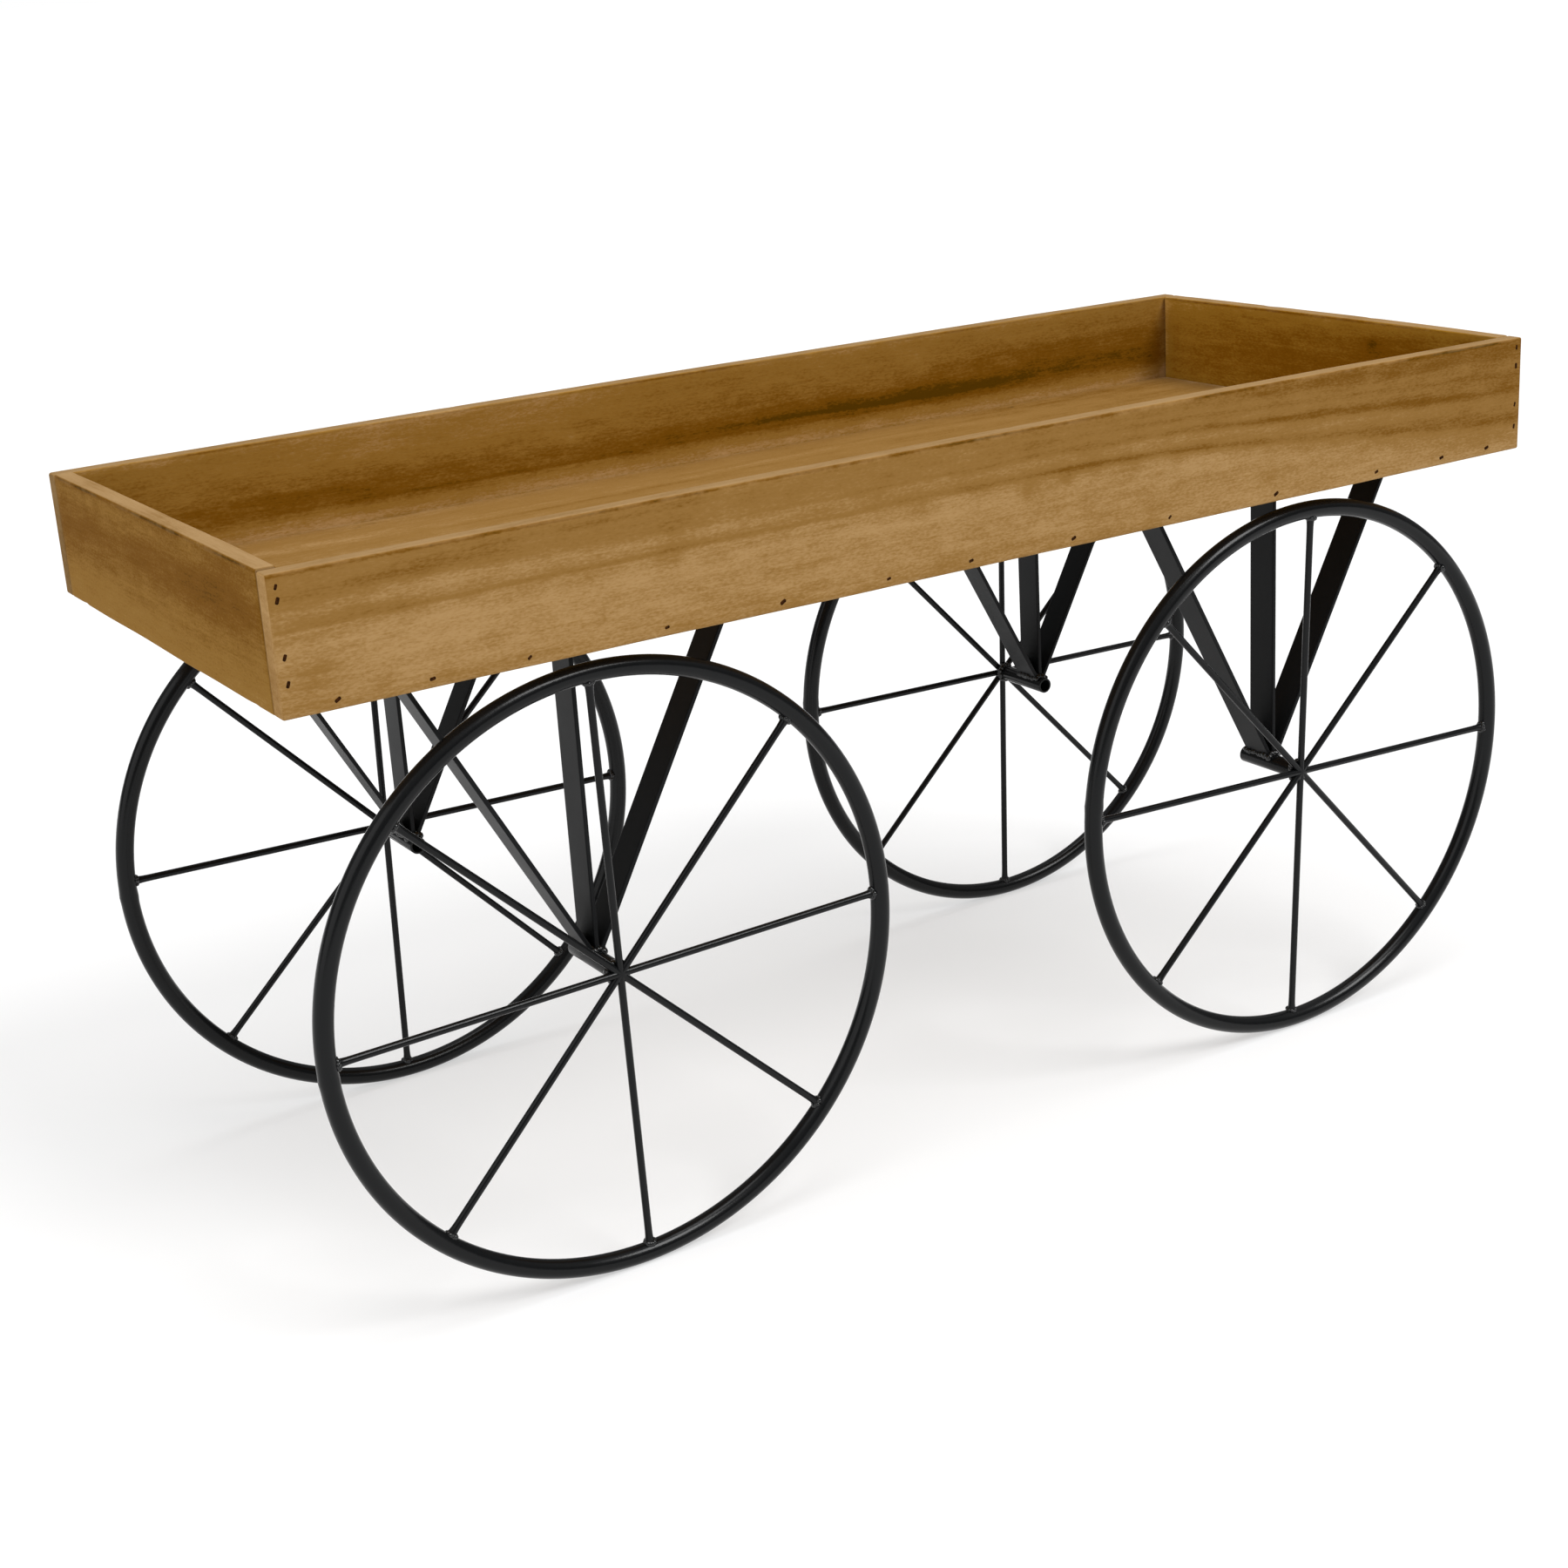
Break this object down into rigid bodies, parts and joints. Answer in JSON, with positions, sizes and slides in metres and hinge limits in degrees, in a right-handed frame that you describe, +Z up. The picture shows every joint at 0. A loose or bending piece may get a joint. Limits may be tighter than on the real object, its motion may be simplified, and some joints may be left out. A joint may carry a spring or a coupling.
{
  "type": "wooden wagon",
  "caption": "Shallow open wooden tray on welded spoked steel wheels, each held by a short stub axle and flat-bar legs that fan out under the tray.",
  "frame": {"origin": "on the ground under the middle of the wagon, at the bottom centre of its box", "axes": "+X along the tray to its right end, +Y from the front side to the back side, +Z up"},
  "size_m": [1.003, 0.405, 0.509],
  "materials": {
    "side_wood": "stained wood with a satin sheen, darker streaks along the grain and eased edges",
    "end_wood": "stained wood with a satin sheen, a little darker than the long boards",
    "floor_wood": "stained wood panel with a faint figure",
    "wheel_paint": "satin black paint on round steel bar",
    "leg_paint": "satin black paint on flat steel bar and tube, with weld beads"
  },
  "bodies": {
    "root": {"side_board_front": "side_wood", "side_board_back": "side_wood", "end_board_left": "end_wood", "end_board_right": "end_wood", "floor_board": "floor_wood", "front_left_rim": "wheel_paint", "front_left_spoke_1": "wheel_paint", "front_left_spoke_2": "wheel_paint", "front_left_spoke_3": "wheel_paint", "front_left_spoke_4": "wheel_paint", "front_left_spoke_5": "wheel_paint", "front_left_spoke_6": "wheel_paint", "front_left_spoke_7": "wheel_paint", "front_left_spoke_8": "wheel_paint", "front_left_stub_axle": "leg_paint", "front_left_leg_left": "leg_paint", "front_left_leg_middle": "leg_paint", "front_left_leg_right": "leg_paint", "front_right_rim": "wheel_paint", "front_right_spoke_1": "wheel_paint", "front_right_spoke_2": "wheel_paint", "front_right_spoke_3": "wheel_paint", "front_right_spoke_4": "wheel_paint", "front_right_spoke_5": "wheel_paint", "front_right_spoke_6": "wheel_paint", "front_right_spoke_7": "wheel_paint", "front_right_spoke_8": "wheel_paint", "front_right_stub_axle": "leg_paint", "front_right_leg_left": "leg_paint", "front_right_leg_middle": "leg_paint", "front_right_leg_right": "leg_paint", "back_left_rim": "wheel_paint", "back_left_spoke_1": "wheel_paint", "back_left_spoke_2": "wheel_paint", "back_left_spoke_3": "wheel_paint", "back_left_spoke_4": "wheel_paint", "back_left_spoke_5": "wheel_paint", "back_left_spoke_6": "wheel_paint", "back_left_spoke_7": "wheel_paint", "back_left_spoke_8": "wheel_paint", "back_left_stub_axle": "leg_paint", "back_left_leg_left": "leg_paint", "back_left_leg_middle": "leg_paint", "back_left_leg_right": "leg_paint", "back_right_rim": "wheel_paint", "back_right_spoke_1": "wheel_paint", "back_right_spoke_2": "wheel_paint", "back_right_spoke_3": "wheel_paint", "back_right_spoke_4": "wheel_paint", "back_right_spoke_5": "wheel_paint", "back_right_spoke_6": "wheel_paint", "back_right_spoke_7": "wheel_paint", "back_right_spoke_8": "wheel_paint", "back_right_stub_axle": "leg_paint", "back_right_leg_left": "leg_paint", "back_right_leg_middle": "leg_paint", "back_right_leg_right": "leg_paint"}
  },
  "joints": []
}
